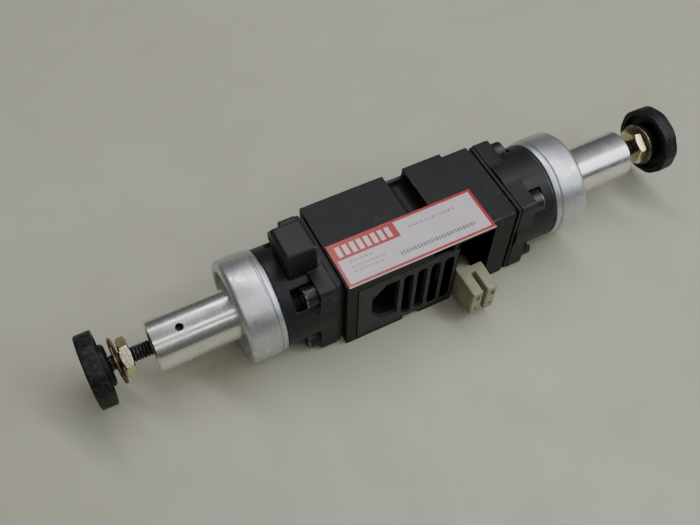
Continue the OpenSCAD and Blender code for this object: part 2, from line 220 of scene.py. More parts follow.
def black_casting(name, base, rough, grain=2600.0, grain_k=0.35):
    m = Mat(name, base, rough, 0.0, spec=0.34)
    big = m.noise(60, 3)
    fine = m.noise(grain, 3, 0.6)
    cells = m.voronoi(grain * 0.55)
    dusty = m.remap(m.noise(38, 5, 0.6), 0.48, 0.72, 0.0, 0.30)
    c0 = m.mix(m.remap(big, 0.3, 0.7), tuple(x * 0.82 for x in base[:3]) + (1,), tuple(x * 1.22 for x in base[:3]) + (1,))
    c1 = m.mix(dusty, c0, (base[0] * 2.4, base[1] * 2.4, base[2] * 2.3, 1))
    # small scuffs
    sc = m.scratches(90, 9, (0.2, 0.5, 0.6), 0.012, 0.42)
    c2 = m.mix(m.math("MULTIPLY", sc, 0.22), c1, (0.22, 0.22, 0.22, 1))
    # worn edges, lighter; on the caps the boss's boosted top-front edge also carries a painted highlight glint
    w = m.attr("wear")
    wn = m.remap(m.noise(150, 5, 0.7), 0.50, 0.72, 0.04, 0.62)
    wm = m.math("MULTIPLY", w, wn, clamp=True)
    c3 = m.mix(m.math("MULTIPLY", wm, 0.42), c2, (0.24, 0.24, 0.245, 1))
    m.color(c3)
    r = m.remap(fine, 0.25, 0.75, rough - 0.07, rough + 0.09)
    m.roughness(m.fmix(m.math("MULTIPLY", wm, 0.6), r, 0.32))
    m.bump(fine, grain_k, 0.00007)
    m.bump(cells, grain_k * 0.6, 0.00006)
    m.bump(m.noise(320, 3), 0.10, 0.0003)
    return m.m


def cast_aluminium():
    m = Mat("cast_aluminium", (0.58, 0.58, 0.57, 1), 0.42, 0.92)
    sweep = m.noise(110, 4, 0.6)
    fine = m.noise(2400, 3, 0.65)
    lines = m.axis_lines(5200)
    c = m.mix(m.remap(sweep, 0.32, 0.70), (0.53, 0.545, 0.575, 1), (0.61, 0.625, 0.655, 1))
    # darker specks and nicks
    nick = m.remap(m.voronoi(520), 0.07, 0.14, 1.0, 0.0)
    nickp = m.math("MULTIPLY", nick, m.remap(m.noise(160, 2), 0.56, 0.62), clamp=True)
    c = m.mix(m.math("MULTIPLY", nickp, 0.5), c, (0.20, 0.20, 0.19, 1))
    sc = m.scratches(140, 11, (0.3, 0.9, 0.2), 0.008, 0.46)
    sc2 = m.scratches(320, 7, (1.2, 0.1, 0.8), 0.008, 0.42)
    scs = m.math("ADD", sc, sc2, clamp=True)
    c = m.mix(m.math("MULTIPLY", scs, 0.14), c, (0.80, 0.80, 0.80, 1))
    w = m.attr("wear")
    wm = m.math("MULTIPLY", w, m.remap(m.noise(330, 4, 0.65), 0.50, 0.66), clamp=True)
    c = m.mix(m.math("MULTIPLY", wm, 0.7), c, (0.90, 0.90, 0.90, 1))
    m.color(c)
    r = m.remap(fine, 0.25, 0.75, 0.34, 0.44)
    r = m.fmix(m.math("MULTIPLY", scs, 0.25), r, 0.28)
    m.roughness(m.fmix(wm, r, 0.18))
    m.bump(fine, 0.16, 0.00005)
    m.bump(lines, 0.12, 0.00004)
    m.bump(m.math("MULTIPLY", nickp, -1.0), 0.5, 0.0001)
    m.bump(m.math("MULTIPLY", scs, -1.0), 0.06, 0.00005)
    m.bump(m.noise(200, 3), 0.04, 0.0003)
    return m.m


def turned_aluminium():
    m = Mat("turned_aluminium", (0.78, 0.78, 0.77, 1), 0.2, 1.0)
    lines = m.axis_lines(9000)
    wide = m.axis_lines(1300)
    stain = m.noise(90, 5, 0.6)
    c = m.mix(m.remap(stain, 0.40, 0.68), (0.90, 0.90, 0.89, 1), (0.76, 0.76, 0.73, 1))
    c = m.mix(m.remap(lines, 0.35, 0.75, 0.0, 0.22), c, (0.62, 0.62, 0.61, 1))
    sc = m.scratches(160, 8, (0.1, 0.4, 1.3), 0.008, 0.40)
    c = m.mix(m.math("MULTIPLY", sc, 0.15), c, (0.95, 0.95, 0.95, 1))
    m.color(c)
    r = m.remap(lines, 0.3, 0.75, 0.17, 0.27)
    r = m.math("ADD", r, m.remap(stain, 0.4, 0.75, 0.0, 0.10))
    m.roughness(r)
    m.bump(lines, 0.10, 0.00003)
    m.bump(wide, 0.08, 0.00006)
    m.bump(m.math("MULTIPLY", sc, -1.0), 0.08, 0.00004)
    return m.m


def black_plastic():
    m = Mat("black_plastic", (0.012, 0.012, 0.013, 1), 0.42, 0.0, spec=0.30)
    fine = m.noise(3000, 2, 0.6)
    mott = m.noise(120, 4, 0.6)
    c = m.mix(m.remap(mott, 0.35, 0.7), (0.0046, 0.0046, 0.0056, 1), (0.0058, 0.0058, 0.0070, 1))
    dust = m.remap(m.voronoi(900), 0.04, 0.09, 1.0, 0.0)
    dust = m.math("MULTIPLY", dust, m.remap(m.noise(200, 2), 0.55, 0.62), clamp=True)
    c = m.mix(m.math("MULTIPLY", dust, 0.35), c, (0.25, 0.24, 0.22, 1))
    w = m.math("MULTIPLY", m.attr("wear"), m.remap(m.noise(600, 3), 0.45, 0.62), clamp=True)
    c = m.mix(m.math("MULTIPLY", w, 0.16), c, (0.12, 0.12, 0.12, 1))
    m.color(c)
    m.roughness(m.remap(m.math("ADD", m.math("MULTIPLY", fine, 0.7), m.math("MULTIPLY", mott, 0.3)), 0.3, 0.7, 0.44, 0.52))
    m.bump(fine, 0.16, 0.00005)
    m.bump(m.noise(240, 3), 0.04, 0.0003)
    return m.m


def metal_plain(name, a, b, r0, r1, lines_k=4200.0, bump=0.12, stain=None, tint=None, wearc=None, metal=1.0, stain_k=0.8):
    m = Mat(name, a, r0, metal)
    big = m.noise(260, 4, 0.6)
    lines = m.axis_lines(lines_k)
    c = m.mix(m.remap(big, 0.35, 0.68), a, b)
    if tint:
        t = m.remap(m.noise(150, 3, 0.5, dist=0.8), 0.42, 0.64)
        c = m.mix(m.math("MULTIPLY", t, 0.55), c, tint)
    if stain:
        st = m.remap(m.noise(330, 5, 0.65), 0.52, 0.70)
        c = m.mix(m.math("MULTIPLY", st, stain_k), c, stain)
    if wearc:
        w = m.math("MULTIPLY", m.attr("wear"), m.remap(m.noise(900, 3), 0.40, 0.58), clamp=True)
        c = m.mix(m.math("MULTIPLY", w, 0.75), c, wearc)
    m.color(c)
    r = m.remap(m.noise(1500, 3), 0.3, 0.7, r0, r1)
    m.roughness(r)
    m.bump(lines, bump, 0.00005)
    m.bump(m.noise(1900, 3), bump * 1.2, 0.00004)
    return m.m


def nylon():
    m = Mat("cream_nylon", lin(224, 216, 188), 0.42, 0.0, spec=0.5, sss=(0.12, (0.6, 0.5, 0.35), 0.0012))
    mott = m.noise(140, 4, 0.6)
    # the mottle colours sit well below the cream base colour: random mottle plus painted shade for the block's shade
    # over the plug
    c = m.mix(m.remap(mott, 0.35, 0.7), lin(150, 146, 122), lin(172, 168, 144))
    grime = m.remap(m.noise(420, 5, 0.65), 0.55, 0.72)
    c = m.mix(m.math("MULTIPLY", grime, 0.35), c, lin(120, 110, 84))
    w = m.math("MULTIPLY", m.attr("wear"), m.remap(m.noise(800, 3), 0.45, 0.6), clamp=True)
    c = m.mix(m.math("MULTIPLY", w, 0.3), c, lin(186, 182, 164))
    m.color(c)
    m.roughness(m.remap(m.noise(1600, 3), 0.3, 0.7, 0.34, 0.52))
    m.bump(m.noise(1700, 3), 0.14, 0.00006)
    m.bump(m.noise(180, 3), 0.10, 0.0003)
    return m.m


def rubber(name, a, b, rough=0.62):
    m = Mat(name, a, rough, 0.0, spec=0.4)
    c = m.mix(m.remap(m.noise(300, 4), 0.35, 0.68), a, b)
    dust = m.remap(m.noise(1200, 4, 0.7), 0.56, 0.70)
    c = m.mix(m.math("MULTIPLY", dust, 0.25), c, (0.16, 0.155, 0.145, 1))
    m.color(c)
    m.roughness(m.remap(m.noise(2200, 2), 0.3, 0.7, rough - 0.08, rough + 0.08))
    m.bump(m.noise(2600, 2), 0.22, 0.00006)
    m.bump(m.noise(400, 3), 0.10, 0.0002)
    return m.m


def label_print(name, a, b, rough=0.34):
    m = Mat(name, a, rough, 0.0, spec=0.5, coat=0.25, coat_rough=0.25)
    c = m.mix(m.remap(m.noise(130, 5, 0.6), 0.35, 0.72), a, b)
    sm = m.remap(m.noise(70, 4, 0.6, vec=m.mapped((1, 2.4, 1), (0, 0, 0.5))), 0.52, 0.72)
    c = m.mix(m.math("MULTIPLY", sm, 0.30), c, tuple(x * 0.72 for x in a[:3]) + (1,))
    sc = m.scratches(120, 12, (0, 0, 0.9), 0.010, 0.40)
    c = m.mix(m.math("MULTIPLY", sc, 0.35), c, (0.80, 0.78, 0.76, 1))
    speck = m.math("MULTIPLY", m.remap(m.voronoi(620), 0.05, 0.10, 1.0, 0.0), m.remap(m.noise(240, 2), 0.55, 0.6), clamp=True)
    c = m.mix(m.math("MULTIPLY", speck, 0.5), c, (0.10, 0.09, 0.08, 1))
    m.color(c)
    m.roughness(m.remap(m.noise(900, 3), 0.3, 0.7, rough - 0.06, rough + 0.12))
    m.bump(m.noise(800, 3), 0.06, 0.00006)
    m.bump(m.noise(90, 2), 0.10, 0.0004)
    return m.m


def table_top():
    m = Mat("table_top", lin(186, 184, 167), 0.5, 0.0, spec=0.35)
    big = m.noise(4.2, 4, 0.55)
    mid = m.noise(26, 5, 0.62)
    c = m.mix(m.remap(big, 0.32, 0.68), lin(181, 179, 161), lin(192, 190, 174))
    c = m.mix(m.remap(mid, 0.36, 0.72, 0.0, 0.5), c, lin(176, 174, 156))
    smear = m.remap(m.noise(9, 5, 0.6, vec=m.mapped((1, 2.2, 1), (0, 0, -0.5)), dist=0.6), 0.56, 0.74)
    c = m.mix(m.math("MULTIPLY", smear, 0.22), c, lin(162, 158, 136))
    dots = m.math("MULTIPLY", m.remap(m.voronoi(55), 0.018, 0.034, 1.0, 0.0), m.remap(m.noise(12, 2), 0.54, 0.6), clamp=True)
    c = m.mix(m.math("MULTIPLY", dots, 0.35), c, lin(120, 112, 92))
    m.color(c)
    m.roughness(m.remap(mid, 0.3, 0.7, 0.44, 0.60))
    m.bump(m.noise(700, 3), 0.05, 0.0002)
    return m.m


M_CAST = black_casting("black_casting", (0.0100, 0.0100, 0.0108, 1), 0.54)
M_CAP = black_casting("black_cap", (0.0105, 0.0108, 0.0135, 1), 0.44, 2000.0, 0.28)
M_PLATE = black_casting("black_plate", (0.013, 0.013, 0.0142, 1), 0.5)
M_RING = cast_aluminium()
M_TUBE = turned_aluminium()
M_KNOB = black_plastic()
M_STEEL_BLACK = metal_plain("black_steel", (0.030, 0.030, 0.032, 1), (0.055, 0.055, 0.058, 1), 0.30, 0.46, 3000.0, 0.10, wearc=(0.45, 0.45, 0.45, 1), metal=0.75)
M_SCREW = metal_plain("black_screw", (0.014, 0.014, 0.015, 1), (0.028, 0.027, 0.028, 1), 0.36, 0.50, 3000.0, 0.08, wearc=(0.16, 0.16, 0.155, 1), metal=0.6)
M_SCREW_BRIGHT = metal_plain("worn_screw", (0.30, 0.30, 0.32, 1), (0.12, 0.12, 0.125, 1), 0.22, 0.36, 3000.0, 0.08, wearc=(0.75, 0.75, 0.76, 1), metal=0.95)
M_NUT = metal_plain("yellow_zinc", lin(222, 214, 176), lin(206, 190, 132), 0.18, 0.30, 2600.0, 0.07, stain=lin(140, 112, 60), tint=lin(214, 214, 196), wearc=lin(240, 238, 220), stain_k=0.45)
M_WASHER = metal_plain("washer_steel", lin(104, 76, 50), lin(74, 52, 34), 0.30, 0.46, 2600.0, 0.14, stain=lin(52, 33, 20), wearc=lin(150, 124, 88))
M_WASHER2 = metal_plain("washer_steel_2", lin(120, 112, 98), lin(86, 76, 62), 0.30, 0.46, 2600.0, 0.14, stain=lin(56, 46, 36), wearc=lin(160, 152, 136))
# near-black non-metal bore: painted shade for the inside of the turned tube and its vent hole
M_BORE_SHADE = metal_plain("bore_painted_shade", (0.0075, 0.0075, 0.0072, 1), (0.0045, 0.0045, 0.0045, 1), 0.55, 0.72, 2600.0, 0.14, metal=0.0)
M_BRASS = metal_plain("brass", lin(196, 160, 96), lin(170, 132, 72), 0.24, 0.38, 3200.0, 0.12, stain=lin(110, 80, 42))
M_SPRING = metal_plain("spring_steel", (0.13, 0.13, 0.135, 1), (0.08, 0.08, 0.085, 1), 0.26, 0.40, 2000.0, 0.08, stain=(0.12, 0.10, 0.08, 1))
M_ZINC = metal_plain("zinc_steel", (0.50, 0.51, 0.52, 1), (0.38, 0.39, 0.40, 1), 0.28, 0.42, 3000.0, 0.10)
M_CONTACT = metal_plain("contact_brass", lin(208, 184, 120), lin(180, 150, 88), 0.22, 0.34, 3000.0, 0.08)
M_NYLON = nylon()
M_GASKET = rubber("grey_rubber", (0.030, 0.030, 0.031, 1), (0.046, 0.046, 0.047, 1), 0.60)
M_RUBBER = rubber("black_rubber", (0.010, 0.010, 0.010, 1), (0.020, 0.020, 0.020, 1), 0.58)
M_WIRE = rubber("wire_insulation", lin(150, 34, 28), lin(126, 26, 22), 0.40)
M_RED = label_print("label_red", lin(182, 34, 34), lin(164, 26, 30))
M_FIELD = label_print("label_field", lin(212, 200, 205), lin(200, 190, 198))
M_PAPER = label_print("label_edge", lin(228, 224, 216), lin(206, 200, 190))
M_MARK = label_print("label_grey_mark", lin(112, 106, 110), lin(140, 134, 136))
M_MARK2 = label_print("label_soft_mark", lin(168, 140, 146), lin(180, 156, 160))
M_WHITE = label_print("label_white_mark", lin(226, 208, 204), lin(214, 190, 188))
M_FLOOR = table_top()


# ------------------------------------------------------------------ mesh helpers
def smooth_by_angle(me, angle=32.0):
    bm = bmesh.new()
    bm.from_mesh(me)
    lim = math.radians(angle)
    for f in bm.faces:
        f.smooth = True
    for e in bm.edges:
        e.smooth = not (len(e.link_faces) != 2 or e.calc_face_angle(0.0) > lim)
    bm.to_mesh(me)
    bm.free()


def make(name, me, body, replaces=(), mats=()):
    ob = bpy.data.objects.new(name, me)
    coll.objects.link(ob)
    idx = [p.material_index for p in me.polygons]
    me.materials.clear()
    for m in mats:
        me.materials.append(m)
    me.polygons.foreach_set("material_index", [min(i, len(mats) - 1) for i in idx])
    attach(ob, body)
    if replaces:
        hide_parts(*replaces)
    return ob


def weighted(ob):
    w = ob.modifiers.new("weighted", "WEIGHTED_NORMAL")
    w.keep_sharp = True
    w.weight = 80
    return ob


def rounded(pts, seg=5):
    """Profile points (a, r) or (a, r, fillet) to a list of (a, r) points with arcs at the filleted corners."""
    out = []
    n = len(pts)
    for i, p in enumerate(pts):
        a, r = p[0], p[1]
        fr = p[2] if len(p) > 2 and isinstance(p[2], (int, float)) else 0.0
        if fr <= 0 or i == 0 or i == n - 1:
            out.append((a, r))
            continue
        P, A, B = Vector((a, r)), Vector(pts[i - 1][:2]), Vector(pts[i + 1][:2])
        u, v = (A - P), (B - P)
        lu, lv = u.length, v.length
        u.normalize(); v.normalize()
        ang = math.acos(max(-1, min(1, u.dot(v))))
        if ang > math.radians(176):
            out.append((a, r))
            continue
        d = min(fr / math.tan(ang / 2), lu * 0.49, lv * 0.49)
        rr = d * math.tan(ang / 2)
        c = P + (u + v).normalized() * (rr / math.sin(ang / 2))
        s, e = P + u * d, P + v * d
        a0, a1 = math.atan2(s.y - c.y, s.x - c.x), math.atan2(e.y - c.y, e.x - c.x)
        da = (a1 - a0 + math.pi) % (2 * math.pi) - math.pi
        for k in range(seg + 1):
            t = a0 + da * k / seg
            out.append((c.x + rr * math.cos(t), c.y + rr * math.sin(t)))
    return out


def revolve(pts, side, seg=160, closed=True, radius_fn=None, matfn=None, axis_z=AX):
    """A turned solid about the regulator axis. side 1 is the right-hand end, -1 the mirrored left-hand end."""
    me = bpy.data.meshes.new("turned")
    bm = bmesh.new()
    rings = []
    for (a, r) in pts:
        if r <= 1e-6:
            v = bm.verts.new((side * a * MM, 0, axis_z * MM))
            rings.append([v] * seg)
            continue
        ring = []
        for j in range(seg):
            t = 2 * math.pi * j / seg
            rr = radius_fn(a, r, t) if radius_fn else r
            ring.append(bm.verts.new((side * a * MM, rr * math.cos(t) * MM, (axis_z + rr * math.sin(t)) * MM)))
        rings.append(ring)
    n = len(rings)
    for i in range(n if closed else n - 1):
        A, B = rings[i], rings[(i + 1) % n]
        mi = matfn(pts[i], pts[(i + 1) % n]) if matfn else 0
        for j in range(seg):
            k = (j + 1) % seg
            vs = []
            for v in (A[j], A[k], B[k], B[j]):
                if v not in vs:
                    vs.append(v)
            if len(vs) >= 3:
                try:
                    f = bm.faces.new(vs)
                    f.material_index = mi
                except ValueError:
                    pass
    bmesh.ops.recalc_face_normals(bm, faces=bm.faces)
    bm.to_mesh(me)
    bm.free()
    return me


def add_wear(me, fn):
    at = me.attributes.get("wear") or me.attributes.new("wear", "FLOAT", "POINT")
    for i, v in enumerate(me.vertices):
        at.data[i].value = fn(v.co)


def cut(ob, cutter_me, mat=None):
    """Exact boolean difference, applied."""
    c = bpy.data.objects.new("cutter", cutter_me)
    coll.objects.link(c)
    md = ob.modifiers.new("cut", "BOOLEAN")
    md.operation, md.solver, md.object = "DIFFERENCE", "EXACT", c
    bpy.context.view_layer.update()
    dg = bpy.context.evaluated_depsgraph_get()
    new = bpy.data.meshes.new_from_object(ob.evaluated_get(dg), preserve_all_data_layers=True, depsgraph=dg)
    ob.modifiers.clear()
    ob.data = new
    bpy.data.objects.remove(c)
    return ob


def box_mesh(lo, hi):
    me = bpy.data.meshes.new("b")
    bm = bmesh.new()
    bmesh.ops.create_cube(bm, size=1.0)
    lo, hi = Vector(lo) * MM, Vector(hi) * MM
    for v in bm.verts:
        v.co = Vector((lo[i] + (v.co[i] + 0.5) * (hi[i] - lo[i]) for i in range(3)))
    bm.to_mesh(me)
    bm.free()
    return me


def refined(name, node, body, mats, width=0.4, seg=3, angle=42.0, min_len=0.0, replaces=None, smooth=34.0, pick=None, edge_wear_and_glint_boost=None):
    """A copy of a CAD node with its planar areas merged and its sharp edges rounded; rounded faces carry the wear
    attribute, which the optional boost function scales up where it paints a highlight glint on top of the wear.
    """
    me = frame["nodes"][node].data.copy()
    bm = bmesh.new()
    bm.from_mesh(me)
    bmesh.ops.remove_doubles(bm, verts=bm.verts, dist=3e-6)
    bmesh.ops.dissolve_limit(bm, angle_limit=math.radians(0.8), verts=bm.verts, edges=bm.edges)
    wl = bm.faces.layers.float.new("wear_f")
    lim = math.radians(angle)
    es = []
    for e in bm.edges:
        if len(e.link_faces) == 2 and e.calc_face_angle(0.0) > lim:
            if min_len and e.calc_length() < min_len * MM:
                continue
            if pick and not pick(e):
                continue
            es.append(e)
    if es:
        res = bmesh.ops.bevel(bm, geom=es, offset=width * MM, offset_type="OFFSET", segments=seg, profile=0.5, affect="EDGES", clamp_overlap=False, loop_slide=True)
        for f in res["faces"]:
            if f.is_valid:
                f[wl] = 1.0
    bmesh.ops.triangulate(bm, faces=[f for f in bm.faces if len(f.verts) > 4])
    bm.faces.index_update()
    wear_and_glint_values = [f[wl] * (edge_wear_and_glint_boost(f.calc_center_median() / MM) if edge_wear_and_glint_boost and f[wl] else 1.0) for f in bm.faces]
    for f in bm.faces:
        f.material_index = 0
    bm.to_mesh(me)
    bm.free()
    at = me.attributes.new("wear", "FLOAT", "FACE")
    at.data.foreach_set("value", wear_and_glint_values)
    smooth_by_angle(me, smooth)
    ob = make(name, me, body, (replaces or node,) if isinstance(replaces or node, str) else replaces, mats)
    weighted(ob)
    return ob


# ------------------------------------------------------------------ block, caps, plates
refined("block", "body_block", "housing", (M_CAST,), 0.45, 3)
for s in ("left", "right"):
    # the boss's top-front edge gets 3.2 times the edge lightening: edge wear plus a painted highlight glint along that
    # edge
    refined(s + "_cap", s + "_end_cap", "housing", (M_CAP,), 0.5, 3, edge_wear_and_glint_boost=lambda c: 3.2 if c.z > 54.0 and (c.y < -6.8 or c.x > -44.2) else 1.0)
    refined(s + "_plate", s + "_cap_plate", "housing", (M_PLATE,), 0.25, 2)
    refined(s + "_cap_bolts", s + "_cap_screws", "housing", (M_STEEL_BLACK,), 0.22, 2)
    refined(s + "_nut", s + "_lock_nut", s + "_nut", (M_NUT,), 0.16, 2, angle=30.0)
    refined(s + "_gland", s + "_knob_insert", s + "_knob", (M_BRASS,), 0.15, 2)
refined("front_seal", "front_gasket", "housing", (M_GASKET,), 0.12, 2)
refined("rear_seal", "rear_gasket", "housing", (M_GASKET,), 0.12, 2)
refined("socket", "rear_socket", "housing", (M_NYLON,), 0.25, 2)


# ------------------------------------------------------------------ plug
def rbox(lo, hi, r, seg=4):
    me = box_mesh(lo, hi)
    bm = bmesh.new()
    bm.from_mesh(me)
    bmesh.ops.bevel(bm, geom=list(bm.edges), offset=r * MM, offset_type="OFFSET", segments=seg, profile=0.5, affect="EDGES", clamp_overlap=True)
    bm.to_mesh(me)
    bm.free()
    return me


def joined(name, add, sub):
    """Exact union of the meshes in add, less those in sub."""
    ob = bpy.data.objects.new(name, add[0])
    coll.objects.link(ob)
    tmp = []
    for k, (op, me) in enumerate([("UNION", m) for m in add[1:]] + [("DIFFERENCE", m) for m in sub]):
        c = bpy.data.objects.new("c%d" % k, me)
        coll.objects.link(c)
        tmp.append(c)
        md = ob.modifiers.new("b%d" % k, "BOOLEAN")
        md.operation, md.solver, md.object = op, "EXACT", c
    bpy.context.view_layer.update()
    dg = bpy.context.evaluated_depsgraph_get()
    me = bpy.data.meshes.new_from_object(ob.evaluated_get(dg), depsgraph=dg)
    for c in tmp + [ob]:
        bpy.data.objects.remove(c)
    return me


def rod(p, axis, r, length, seg=32):
    me = bpy.data.meshes.new("r")
    bm = bmesh.new()
    bmesh.ops.create_cone(bm, cap_ends=True, segments=seg, radius1=r * MM, radius2=r * MM, depth=length * MM)
    bm.to_mesh(me)
    bm.free()
    rot = {"X": Matrix.Rotation(math.pi / 2, 4, "Y"), "Y": Matrix.Rotation(math.pi / 2, 4, "X"), "Z": Matrix.Identity(4)}[axis]
    me.transform(Matrix.Translation(Vector(p) * MM) @ rot)
    return me


def plug():
    add = [rbox((12.0, -24.5, 4.5), (23.6, -14.7, 20.0), 0.35, 3), rbox((12.0, -34.6, 4.5), (16.8, -23.4, 20.0), 0.7), rbox((18.8, -34.6, 4.5), (23.6, -23.4, 20.0), 0.7)]
    sub = [rod((14.4, -29.5, 8), "Y", 0.9, 14), rod((21.2, -29.5, 8), "Y", 0.9, 14), rod((17.8, -24, 8), "Y", 0.9, 6), box_mesh((23.0, -32.5, 9), (25, -28.5, 15)),
           box_mesh((13.3, -35.0, 14.2), (15.5, -33.9, 17.6)), box_mesh((20.1, -35.0, 14.2), (22.3, -33.9, 17.6))]
    me = joined("plug", add, sub)
    smooth_by_angle(me, 34)
    at = me.attributes.new("wear", "FLOAT", "FACE")
    at.data.foreach_set("value", [1.0 if max(abs(x) for x in p.normal) < 0.97 else 0.0 for p in me.polygons])
    return weighted(make("plug_body", me, "housing", ("connector_housing",), (M_NYLON,)))


plug()


# ------------------------------------------------------------------ label
def label():
    L, R_, F, B = 27 - 64.2, 27.0, -21.5, -0.7
    z0, z1 = TOP + 0.0, TOP + 0.4
    # rectangles in mm on the label: (x0, x1, y0, y1, material index); later ones lie on top
    rects = [(L, R_, F, B, 0)]
    rects.append((L + 1.25, R_ - 1.3, F + 1.45, B - 1.2, 1))
    rects.append((L, R_, F, F + 0.28, 2))
    # red heading panel with evenly spaced plain stripes
    hx0, hx1, hy0, hy1 = L + 1.0, -8.6, -8.9, B
    rects.append((hx0, hx1, hy0, hy1, 0))
    for i in range(8):
        x = hx0 + 1.7 + i * 3.05
        rects.append((x, x + 1.9, hy0 + 1.3, hy1 - 2.0, 5))
    # word-like bars, no lettering
    rnd = random.Random(11)

    def bars(x0, x1, y, h, mi, lo=0.9, hi=2.2, gap=0.45):
        x = x0
        while x < x1:
            w = min(lo + (hi - lo) * rnd.random(), x1 - x)
            if w > 0.3:
                rects.append((x, x + w, y - h / 2, y + h / 2, mi))
            x += w + gap

    bars(-32.0, -22.0, -10.9, 0.75, 4)
    bars(-32.4, -17.6, -13.6, 0.75, 4)
    bars(-32.4, -19.6, -15.6, 0.75, 4)
    bars(-4.0, 16.5, -6.3, 1.35, 4, 0.9, 1.5, 0.7)
    bars(-12.6, 20.2, -16.2, 1.75, 3, 0.55, 0.95, 0.42)
    xs = sorted({round(v, 4) for r in rects for v in r[:2]})
    ys = sorted({round(v, 4) for r in rects for v in r[2:4]})
    me = bpy.data.meshes.new("label")
    bm = bmesh.new()
    grid = {}

    def vert(x, y, z):
        k = (x, y, z)
        if k not in grid:
            grid[k] = bm.verts.new((x * MM, y * MM, z * MM))
        return grid[k]

    # the flat top face, one quad per grid cell, with the material of the last rectangle covering it
    for i in range(len(xs) - 1):
        for j in range(len(ys) - 1):
            cx, cy = (xs[i] + xs[i + 1]) / 2, (ys[j] + ys[j + 1]) / 2
            mi = 0
            for r in rects:
                if r[0] <= cx <= r[1] and r[2] <= cy <= r[3]:
                    mi = r[4]
            f = bm.faces.new([vert(xs[i], ys[j], z1), vert(xs[i + 1], ys[j], z1), vert(xs[i + 1], ys[j + 1], z1), vert(xs[i], ys[j + 1], z1)])
            f.material_index = mi
    # sides and underside
    ring = [(x, ys[0]) for x in xs] + [(xs[-1], y) for y in ys[1:]] + [(x, ys[-1]) for x in reversed(xs[:-1])] + [(xs[0], y) for y in reversed(ys[1:-1])]
    for k in range(len(ring)):
        a, b = ring[k], ring[(k + 1) % len(ring)]
        f = bm.faces.new([vert(a[0], a[1], z1), vert(b[0], b[1], z1), vert(b[0], b[1], z0), vert(a[0], a[1], z0)])
        f.material_index = 2
    f = bm.faces.new([vert(a[0], a[1], z0) for a in ring])
    f.material_index = 2
    bmesh.ops.recalc_face_normals(bm, faces=bm.faces)
    bm.to_mesh(me)
    bm.free()
    return make("label", me, "housing", ("label_plate",), (M_RED, M_FIELD, M_PAPER, M_MARK, M_MARK2, M_WHITE))


label()


# ------------------------------------------------------------------ bonnets
def bonnet(side, R, s, vent):
    W, T, L, D = 15.5, 10.4, 48.2, 2.6
    outer = [
        (R - 2.2, 12.4), (R - 2.2, 14.4, 0.3), (R, 14.4), (R, 19.5, 0.2), (R + 0.45, 19.5), (R + 0.6, 20.8, 0.35), (R + 2.5, 21.15, 0.5), (R + 2.75, 20.75),
        (R + 3.15, 20.75), (R + 3.4, 21.45, 0.5), (R + W - 0.05, 21.5, 3.9), (R + W, 17.35, 0.6), (R + W - D, 16.6, 0.7), (R + W - D, T, 1.3),
        (R + L - 0.85, T, 0.3), (R + L, T - 0.85, 0.25), (R + L, 3.9, 0.12), (R + L - 0.6, 3.27), (R + L - 5, 3.27),
        (R + L - 5, 8.4, 0.4), (R + 12.5, 8.4), (R + 9, 12.4),
    ]
    pts = rounded(outer, 6)
    tube_from = R + W - 1.0

    def mat(p, q):
        a, r = (p[0] + q[0]) / 2, (p[1] + q[1]) / 2
        # index 2, the inner bore, takes the near-black painted-shade material
        if r < 8.6 and a < R + L - 5.2 or (r < 12.5 and a < R + 12.6):
            return 2
        return 0 if r > 12.6 or a < R + 1 else 1

    me = revolve(pts, side, 192, True, None, mat)
    ob = make(s + "_bonnet_body", me, "housing", (s + "_bonnet",), (M_RING, M_TUBE, M_BORE_SHADE))
    # vent hole
    cm = bpy.data.meshes.new("c")
    bm = bmesh.new()
    bmesh.ops.create_cone(bm, cap_ends=True, segments=48, radius1=1.6 * MM, radius2=1.6 * MM, depth=8 * MM, matrix=Matrix.Translation((0, 0, 9.0 * MM)))
    bm.to_mesh(cm); bm.free()
    cm.transform(Matrix.Translation((side * (R + 36.3) * MM, 0, AX * MM)) @ Matrix.Rotation(math.radians(vent), 4, "X"))
    cut(ob, cm)
    me = ob.data
    d = Vector((0, -math.sin(math.radians(vent)), math.cos(math.radians(vent))))
    h = Vector((side * (R + 36.3) * MM, 0, AX * MM))
    # the vent hole's wall also takes the near-black painted-shade bore material
    for p in me.polygons:
        v = p.center - h
        if 5 * MM < v.dot(d) < 10.25 * MM and (v - v.dot(d) * d).length < 1.62 * MM:
            p.material_index = 2
    smooth_by_angle(me, 28)

    def wear(co):
        a, r = abs(co.x) / MM, math.hypot(co.y / MM, co.z / MM - AX)
        if r > 19.4 and (a < R + 3.9 or a > R + W - 2.4):
            return 0.25 if a < R + 3.9 else 0.8
        if r > 9.4 and a > R + L - 1.2:
            return 0.8
        return 0.0

    add_wear(me, wear)
    return ob


bonnet(-1, 62.0, "left", 15)
bonnet(1, 60.0, "right", -120)


